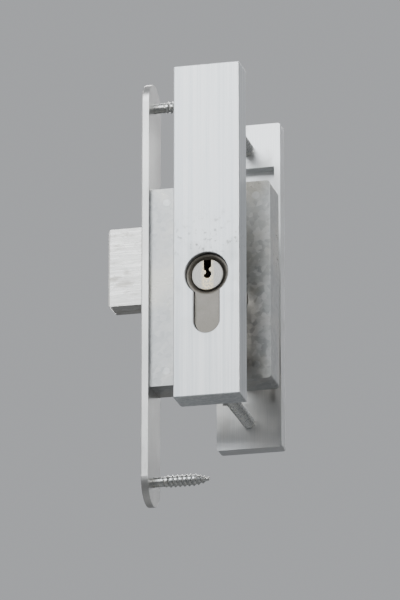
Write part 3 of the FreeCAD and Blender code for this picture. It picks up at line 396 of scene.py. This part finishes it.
def dulled_face_and_bevel_shade(place):
    """Dulled plating on the face that stands outdoors, with painted shade darkening the bevel round the
    plug.
    """
    depth = place.node("SeparateXYZ", None, {"Vector": place}, out="Y")
    outdoors = step(depth, OUTSIDE + 2.2, OUTSIDE + 1.4)
    # painted shade: the bevel round the plug is darkened in patches, standing in for the shade of its
    # recess
    painted_bevel_shade = step(from_key_axis(place), PLUG_RADIUS + BEVEL + 0.9, PLUG_RADIUS + BEVEL)
    patchy = noise(place, (1.1, 1.1, 1.1), 5.0, 0.7)
    return outdoors * (painted_bevel_shade * (patchy * 0.5 + 0.1) + patchy * 0.2 + 0.42)


NICKEL_LIGHT = (0.52, 0.495, 0.455, 1.0)
NICKEL_DARK = (0.37, 0.35, 0.315, 1.0)
cylinder_nickel = nickel(
    "cylinder nickel", (6.0, 0.2, 6.0), NICKEL_LIGHT, NICKEL_DARK, 0.34, dulled_face_and_bevel_shade,
)
dress(cylinder_nickel, "cylinder_body")

# Pins and chamber plugs: small brass turnings, stacked in the leg of the cylinder.
# The plugs close its five chambers from below.
dress(brass("pin brass", (0.5, 0.5, 9.0), 0.3), "key_pins", "driver_pins", "chamber_plugs")

# Outer plug: turned brass, nickel plated. Keys have scratched its face into a haze of arcs and worn
# the plating from the lips of the keyway, so yellow brass shows there.
LIPS_END = 9.0  # squares of the distance from the keyway's middle
LIPS_FULL = 2.6
material, place = new_material("plug nickel")
away = from_key_axis(place)
rings = noise(away.node("CombineXYZ", None, {"X": away * 5.0}), (1.0, 1.0, 1.0), 3.0, 0.6)
scratch = step(noise(place, (0.5, 0.5, 2.4), 6.0, 0.75), 0.55, 0.66)
side = place.node("SeparateXYZ", None, {"Vector": place}, out="X") - PLUG_X
lips = step(side * side, LIPS_END, LIPS_FULL) * step(noise(place, (1.4, 1.4, 1.4), 4.0, 0.7), 0.4, 0.6)
rim = step(away, PLUG_RADIUS - 0.9, PLUG_RADIUS - 0.1)
colour = blend(step(rings, 0.35, 0.65), (0.21, 0.205, 0.192, 1.0), (0.36, 0.35, 0.33, 1.0))
colour = blend(lips * 0.6, colour, (0.70, 0.56, 0.30, 1.0))
colour = blend(scratch * 0.3 + rim * 0.35, colour, (0.34, 0.32, 0.29, 1.0))
rough = rings * 0.14 + scratch * 0.16 + rim * 0.1 + 0.2
dress(finish_metal(material, colour, rough, rings + scratch * 0.5, 0.008), "outer_plug")

# Cam: sintered steel, pressed from powder, so it is dull and finely pitted all over.
# It turns between the two halves of the cylinder, and its finger works in the bolt's notch.
material, place = new_material("sintered steel")
pits = step(noise(place, (3.2, 3.2, 3.2), 4.0, 0.8), 0.34, 0.5)
cloud = noise(place, (0.3, 0.3, 0.3), 4.0, 0.6)
colour = blend(cloud * 0.5 + pits * 0.5, (0.22, 0.215, 0.205, 1.0), (0.47, 0.465, 0.45, 1.0))
dress(finish_metal(material, colour, 0.62 - pits * 0.2, pits, 0.02), "cam")

# Turn shaft: brass turned in one piece with its flange, nickel plated like the cylinder.
# No weather reaches it, so it is brighter.
SHAFT_LIGHT = (0.68, 0.665, 0.635, 1.0)
SHAFT_DARK = (0.54, 0.525, 0.495, 1.0)
dress(nickel("shaft nickel", (0.2, 8.0, 0.2), SHAFT_LIGHT, SHAFT_DARK), "turn_shaft")

# Thumbturn knob: cast zinc, satin nickel plated. Fingers have polished its waist, and its ends
# keep the frosted plate.
knob_low, knob_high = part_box("thumbturn_knob")
KNOB_HALF = (knob_high[2] - knob_low[2]) / 2 * MM
material, place = new_material("knob nickel")
height = place.node("SeparateXYZ", None, {"Vector": place}, out="Z") - PLUG_Z
polish = step(height * height, KNOB_HALF * KNOB_HALF * 0.9, KNOB_HALF * KNOB_HALF * 0.1)
frost = noise(place, (5.0, 5.0, 5.0), 4.0, 0.7)
touch = step(noise(place, (0.2, 0.2, 0.3), 5.0, 0.65), 0.45, 0.62)
colour = blend(step(frost, 0.3, 0.7), (0.57, 0.56, 0.535, 1.0), (0.68, 0.67, 0.645, 1.0))
colour = blend(polish * touch * 0.4, colour, (0.78, 0.77, 0.745, 1.0))
rough = 0.4 - polish * 0.12 - touch * 0.05 + frost * 0.08
dress(finish_metal(material, colour, rough, frost, 0.003), "thumbturn_knob")

# Cylinder fixing screw and forend wood screws: zinc plated steel, their heads in the forend.
# The one is a machine screw into the cylinder, and the other two go into the edge of the door.
dress(zinc_screw("forend screw zinc", (0.4, 4.0, 4.0)), "cylinder_fixing_screw", "forend_wood_screws")


# Wood screw threads: a coarse rolled thread on each of the two forend screws, down to the point.
# Rolling raises the metal beside the groove, so the ridge stands out from the shank.
TURN_STEPS = 24
RIDGE_HALF = 0.34  # half the ridge's width, as a share of the pitch
RIDGE_SUNK = 0.06  # how far its foot lies under the shank's surface


def helical_ridge(name, origin, along, radius_at, start, end, pitch, rise, material):
    """A closed, pointed ridge wound round the line along from origin. Lengths are in millimetres."""
    up = Vector((0.0, 0.0, 1.0))
    side = along.cross(up).normalized()
    count = int((end - start) / pitch * TURN_STEPS)
    cuts = []
    for i in range(count + 1):
        turn = 2 * math.pi * i / TURN_STEPS
        outward = up * math.cos(turn) + side * math.sin(turn)
        middle = start + pitch * i / TURN_STEPS
        taper = min(1.0, i / TURN_STEPS, (count - i) / TURN_STEPS)
        foot = radius_at(middle) - RIDGE_SUNK
        half = pitch * RIDGE_HALF
        cuts.append([
            origin + (along * (middle + shift) + outward * radius) / MM
            for shift, radius in ((-half, foot), (0.0, foot + RIDGE_SUNK + rise * taper), (half, foot))
        ])
    ridge = bar(name, cuts, material)
    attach(ridge, "lock_frame")


mounts = {mount["name"]: mount for mount in frame["record"]["mounts"]}
screw_mount = mounts["forend_screws"]
half_spacing = screw_mount["dims"]["spacing_y_mm"] / 2 / MM
shank = screw_mount["dims"]["stud_r_mm"]
screw_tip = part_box("forend_wood_screws")[1][0] * MM
CONE = 6.0  # length of the screw's point
POINT = 0.3  # radius of the point, as a share of the shank's
SCREW_START = 4.0
SCREW_PITCH = 1.9
SCREW_RISE = 0.55
BARE_TIP = 0.7
thread_zinc = zinc_screw("wood screw thread zinc", (1.5, 1.5, 1.5))


def wood_shank(behind):
    """Radius of the wood screw that far behind the forend."""
    into_point = max(0.0, behind - (screw_tip - CONE)) / CONE
    return shank * (1 - (1 - POINT) * into_point)


for side, label in ((1, "upper"), (-1, "lower")):
    seat = Vector(screw_mount["pos_m"]) + Vector((0.0, 0.0, half_spacing * side))
    helical_ridge(
        f"wood_screw_thread_{label}", seat, Vector((1.0, 0.0, 0.0)), wood_shank,
        SCREW_START, screw_tip - BARE_TIP, SCREW_PITCH, SCREW_RISE, thread_zinc,
    )

# Outer base plate, sleeves and base screws: steel, zinc plated, on the outside of the door.
# The sleeves are pressed into the plate and reach into the door, where the through bolts screw in.
dress(zinc_sheet("base zinc", (2.5, 2.5, 0.3)), "outer_base_plate")
dress(turned_steel("sleeve zinc", RINGS_Y, (0.63, 0.635, 0.63, 1.0)), "threaded_sleeves")
dress(zinc_screw("base screw zinc", (4.0, 0.4, 4.0)), "base_screws")

# Outer cover: the boxed aluminium shield, extruded, brushed upright and anodised a pale silver.
# It has fine upright lines, and a little dirt near the keyhole.
material, place = new_material("anodised aluminium")
hair = noise(place, (7.0, 7.0, 0.035), 5.0, 0.6)
band = noise(place, (0.7, 0.7, 0.006), 4.0, 0.6)
cloud = noise(place, (0.03, 0.03, 0.018), 4.0, 0.55)
away = from_key_axis(place)
near = step(away, 34.0, 10.0)
height = place.node("SeparateXYZ", None, {"Vector": place}, out="Z") - PLUG_Z
above = step(height, 3.0, 14.0)
speck = step(noise(place, (0.6, 0.6, 0.6), 3.0, 0.6), 0.58, 0.66) * near * above
smudge = step(noise(place, (0.09, 0.09, 0.07), 5.0, 0.6), 0.45, 0.7) * near
lines = step(hair * 0.4 + band * 0.6, 0.36, 0.64)
colour = blend(lines, (0.54, 0.57, 0.59, 1.0), (0.80, 0.81, 0.815, 1.0))
colour = blend(step(cloud, 0.35, 0.7) * 0.4, colour, (0.66, 0.695, 0.72, 1.0))
colour = blend(speck * 0.45 + smudge * 0.12, colour, (0.30, 0.30, 0.28, 1.0))
rough = hair * 0.16 + band * 0.14 + 0.24 + smudge * 0.08 + speck * 0.2
dress(finish_metal(material, colour, rough, hair + band * 0.7, 0.006), "outer_cover")

# Inner plate: flat aluminium, brushed upright and anodised like the cover. Two bolts through the
# door hold it, and hands have left smudges on it.
material, place = new_material("inner anodised aluminium")
hair = noise(place, (6.0, 6.0, 0.05), 5.0, 0.6)
smudge = step(noise(place, (0.08, 0.08, 0.06), 5.0, 0.6), 0.5, 0.7)
colour = blend(step(hair, 0.35, 0.65), (0.66, 0.675, 0.685, 1.0), (0.77, 0.775, 0.78, 1.0))
colour = blend(smudge * 0.2, colour, (0.55, 0.53, 0.49, 1.0))
dress(finish_metal(material, colour, hair * 0.14 + smudge * 0.1 + 0.3, hair, 0.004), "inner_plate")

# Through bolts: long zinc plated machine screws that draw the two plates together.
# Their rolled thread shows between the sleeves and the inner plate.
dress(zinc_screw("through bolt zinc", (4.0, 0.4, 4.0)), "through_bolts")
bolt_mount = mounts["sleeve_holes"]
half_spacing = bolt_mount["dims"]["spacing_y_mm"] / 2 / MM
sleeve_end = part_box("threaded_sleeves")[1][1]
plate_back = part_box("inner_plate")[0][1]
BOLT_SHANK = 2.5
BOLT_PITCH = 0.8
BOLT_RISE = 0.16
BOLT_BARE = 0.4  # left plain at each end
bolt_thread = zinc_screw("machine thread zinc", (1.5, 1.5, 1.5))
for side, label in ((1, "upper"), (-1, "lower")):
    mount = Vector(bolt_mount["pos_m"])
    start = Vector((mount.x, sleeve_end, mount.z + half_spacing * side))
    helical_ridge(
        f"through_bolt_thread_{label}", start, Vector((0.0, 1.0, 0.0)), lambda place: BOLT_SHANK,
        BOLT_BARE, (plate_back - sleeve_end) * MM - BOLT_BARE, BOLT_PITCH, BOLT_RISE, bolt_thread,
    )

# Floor: wide and pale, of plaster. It lies so far below the lock that views from underneath
# stay above it, and reaches so far out that its edge isn't seen.
material, place = new_material("pale floor")
grain = noise(place, (0.02, 0.02, 0.02), 5.0, 0.6)
cloud = noise(place, (0.0015, 0.0015, 0.0015), 3.0)
colour = blend(grain * 0.3 + cloud * 0.7, (0.42, 0.42, 0.415, 1.0), (0.48, 0.48, 0.475, 1.0))
bump = grain.node("Bump", None, {"Strength": 0.2, "Distance": 0.0005, "Height": grain})
plaster = grain.node("BsdfPrincipled", None, {"Base Color": colour, "Roughness": 0.7, "Normal": bump})
grain.node("OutputMaterial", None, {"Surface": plaster}, out=None)
FLOOR_DROP = 2.4
FLOOR_REACH = 60.0
shape = bmesh.new()
bmesh.ops.create_grid(shape, x_segments=4, y_segments=4, size=FLOOR_REACH)
floor = placed("floor", shape, material)
floor.location.z = -FLOOR_DROP
floor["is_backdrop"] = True

# Studio: softboxes in a pale room, whose wall sweeps down into the floor. The key stands on the
# right, and a broad one up and a little to the left is what the brushed face mirrors.
world = bpy.data.worlds.new("pale room")
world.use_nodes = True
background = world.node_tree.nodes["Background"]
facing = Wire(world.node_tree).node("TexCoord", out="Generated")
facing = facing.node("SeparateXYZ", None, {"Vector": facing}, out="Z")
sweep = blend(step(facing, -0.12, 0.24), (0.38, 0.385, 0.39, 1.0), (0.80, 0.82, 0.85, 1.0))
world.node_tree.links.new(sweep.socket, background.inputs["Color"])
background.inputs["Strength"].default_value = 0.52
bpy.context.scene.world = world
centre = (Vector(low) + Vector(high)) / 2


def softbox(name, direction, distance, size, power, tint=(1.0, 1.0, 1.0)):
    """A square area light that faces the lock from that direction."""
    lamp = bpy.data.lights.new(name, "AREA")
    lamp.size = size
    lamp.energy = power
    lamp.color = tint
    holder = bpy.data.objects.new(name, lamp)
    bpy.context.collection.objects.link(holder)
    away = Vector(direction).normalized()
    holder.location = centre + away * distance
    holder.rotation_euler = away.to_track_quat("Z", "Y").to_euler()


softbox("key", (0.8, -1.0, 0.45), 1.3, 0.35, 7.0, (1.0, 0.985, 0.96))
softbox("face", (-0.23, -0.92, 0.68), 1.6, 1.1, 18.5, (0.94, 0.975, 1.0))
softbox("room side", (-0.25, 1.0, 0.58), 1.5, 1.0, 20.0)
softbox("overhead", (0.3, 0.3, 1.0), 1.6, 1.2, 9.0)
softbox("edge", (-1.0, 0.1, 0.6), 1.5, 0.7, 3.5)

# Camera: a long lens, upright, a little below and to the right of the lock. It stands back far
# enough to keep the lock's edges near parallel.
AZIMUTH = math.radians(14.0)
ELEVATION = math.radians(-19.0)
DISTANCE = 2.2
FILL = 0.86  # share of the picture's height that the lock takes
SENSOR = 36.0
toward = Vector((
    math.sin(AZIMUTH) * math.cos(ELEVATION), -math.cos(AZIMUTH) * math.cos(ELEVATION), math.sin(ELEVATION),
))
lens = bpy.data.cameras.new("camera")
camera = bpy.data.objects.new("camera", lens)
bpy.context.collection.objects.link(camera)
camera.location = centre + toward * DISTANCE
camera.rotation_euler = toward.to_track_quat("Z", "Y").to_euler()
upright = Vector((0.0, 0.0, 1.0)) - toward * toward.z
upright.normalize()
corners = [
    Vector((x, y, z))
    for x in (low[0], high[0])
    for y in (low[1], high[1])
    for z in (low[2], high[2])
]
heights = [(corner - centre).dot(upright) for corner in corners]
span = (max(heights) - min(heights)) / FILL
lens.sensor_fit = "VERTICAL"
lens.sensor_height = SENSOR
lens.lens = SENSOR * DISTANCE / span
bpy.context.scene.camera = camera

low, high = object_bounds()
